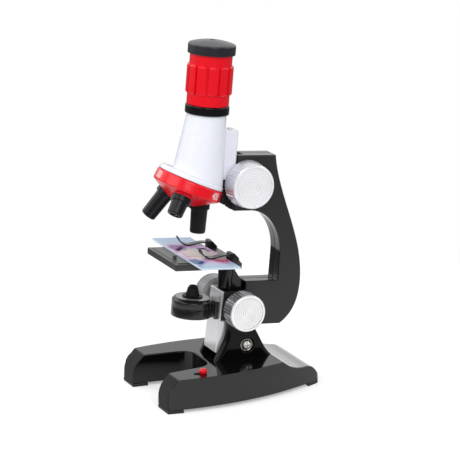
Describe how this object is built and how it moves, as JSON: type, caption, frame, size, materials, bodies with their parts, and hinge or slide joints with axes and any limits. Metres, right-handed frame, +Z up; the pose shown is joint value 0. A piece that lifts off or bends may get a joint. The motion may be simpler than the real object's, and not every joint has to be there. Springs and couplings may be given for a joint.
{
  "type": "compound microscope",
  "caption": "Toy compound microscope with a horseshoe base, a tilting arm, a rack-focused tube, a revolving nosepiece, a drawable eyepiece, a clip stage and a flip lamp.",
  "frame": {"origin": "middle of the footprint, on the surface that the feet stand on", "axes": "+Z up, the open ends of the horseshoe face -Y, +X is the side with the power switch"},
  "size_m": [0.0778, 0.1106, 0.2214],
  "materials": {
    "black_satin": "satin",
    "black_gloss": "gloss",
    "black_matte": "matte",
    "rubber_feet": "matte",
    "silver_plastic": "silver paint",
    "white_gloss": "gloss",
    "red_gloss": "gloss",
    "steel": "bright",
    "battery_jacket": "gloss",
    "slide_plastic": "printed",
    "clear_glass": "clear",
    "mirror_glass": "polished"
  },
  "bodies": {
    "base": {"base_shell": "black_satin", "base_plate": "black_matte", "battery_door": "black_matte", "door_screw": "steel", "foot_pads": "rubber_feet", "battery_cells": "battery_jacket", "battery_contacts": "steel", "base_screws": "steel", "pillar_right": "black_gloss", "pillar_left": "black_gloss", "pillar_screw": "steel", "pillar_nut": "steel", "pillar_spacer": "black_matte", "switch_body": "black_matte"},
    "switch": {"switch_slider": "red_gloss"},
    "tilt_knobs": {"tilt_axle": "steel", "tilt_knob_right": "silver_plastic", "tilt_knob_left": "silver_plastic"},
    "arm": {"arm_right": "black_satin", "arm_left": "black_satin", "arm_screws": "steel", "column_cover": "silver_plastic", "stage_bracket": "black_satin", "stage_plate": "black_matte", "stage_screws": "steel", "clip_pins": "steel", "lamp_bracket": "black_satin"},
    "clip_right": {"stage_clip_right": "black_matte"},
    "clip_left": {"stage_clip_left": "black_matte"},
    "specimen": {"specimen_slide": "slide_plastic", "cover_glass": "clear_glass"},
    "lamp": {"lamp_housing": "black_matte", "lamp_cover": "black_matte", "lamp_bezel": "silver_plastic", "lamp_hood": "black_gloss", "lamp_bulb": "clear_glass", "mirror": "mirror_glass", "lamp_pivot": "steel"},
    "focus": {"focus_shaft": "steel", "focus_pinion": "black_matte", "focus_knob_right": "silver_plastic", "focus_knob_left": "silver_plastic"},
    "tube": {"body_tube": "white_gloss", "tube_flange": "white_gloss", "tube_ring": "black_gloss", "rack_carrier": "white_gloss", "focus_rack": "black_matte", "carrier_screw": "steel", "nosepiece_screw": "steel"},
    "nosepiece": {"nosepiece": "red_gloss", "objective_mid": "black_matte", "objective_high": "black_matte", "objective_low": "black_matte", "objective_lenses": "clear_glass"},
    "eyepiece": {"eyepiece_barrel": "red_gloss", "draw_tube": "black_matte", "eyepiece_cap": "black_gloss", "eye_lens": "clear_glass", "field_lens": "clear_glass"}
  },
  "joints": [
    {"name": "arm_tilt", "type": "hinge", "parent": "base", "child": "arm", "pos_m": [0, 0.0023, 0.0542], "axis": [-1, 0, 0], "range_deg": [-5.05, 25]},
    {"name": "tilt_knob_turn", "type": "hinge", "parent": "base", "child": "tilt_knobs", "pos_m": [0, 0.0023, 0.0542], "axis": [1, 0, 0], "range_deg": [0, 180]},
    {"name": "switch_slide", "type": "slide", "parent": "base", "child": "switch", "axis": [0, -1, 0], "range_m": [0, 0.004]},
    {"name": "focus_slide", "type": "slide", "parent": "arm", "child": "tube", "axis": [0, 0.088, 0.9961], "range_m": [-0.006, 0.012]},
    {"name": "focus_turn", "type": "hinge", "parent": "arm", "child": "focus", "pos_m": [0, 0.01048, 0.13133], "axis": [1, 0, 0], "range_deg": [-232, 118]},
    {"name": "nosepiece_turn", "type": "hinge", "parent": "tube", "child": "nosepiece", "pos_m": [0, -0.024, 0.13593], "axis": [0, 0.4155, 0.9096], "continuous": true},
    {"name": "eyepiece_draw", "type": "slide", "parent": "tube", "child": "eyepiece", "axis": [0, 0.088, 0.9961], "range_m": [0, 0.025]},
    {"name": "lamp_flip", "type": "hinge", "parent": "arm", "child": "lamp", "pos_m": [0, -0.02357, 0.05513], "axis": [0, 0.9961, -0.088], "range_deg": [0, 180]},
    {"name": "clip_right_turn", "type": "hinge", "parent": "arm", "child": "clip_right", "pos_m": [0.016, -0.00297, 0.08659], "axis": [0, 0.088, 0.9961], "range_deg": [-15, 60]},
    {"name": "clip_left_turn", "type": "hinge", "parent": "arm", "child": "clip_left", "pos_m": [-0.016, -0.00297, 0.08659], "axis": [0, -0.088, -0.9961], "range_deg": [-23, 52]},
    {"name": "specimen_draw", "type": "slide", "parent": "arm", "child": "specimen", "axis": [1, 0, 0], "range_m": [-0.03, 0.03]}
  ],
  "couplings": [
    {"joint": "focus_turn", "follows": "focus_slide", "rad_per_m": -333.33}
  ]
}
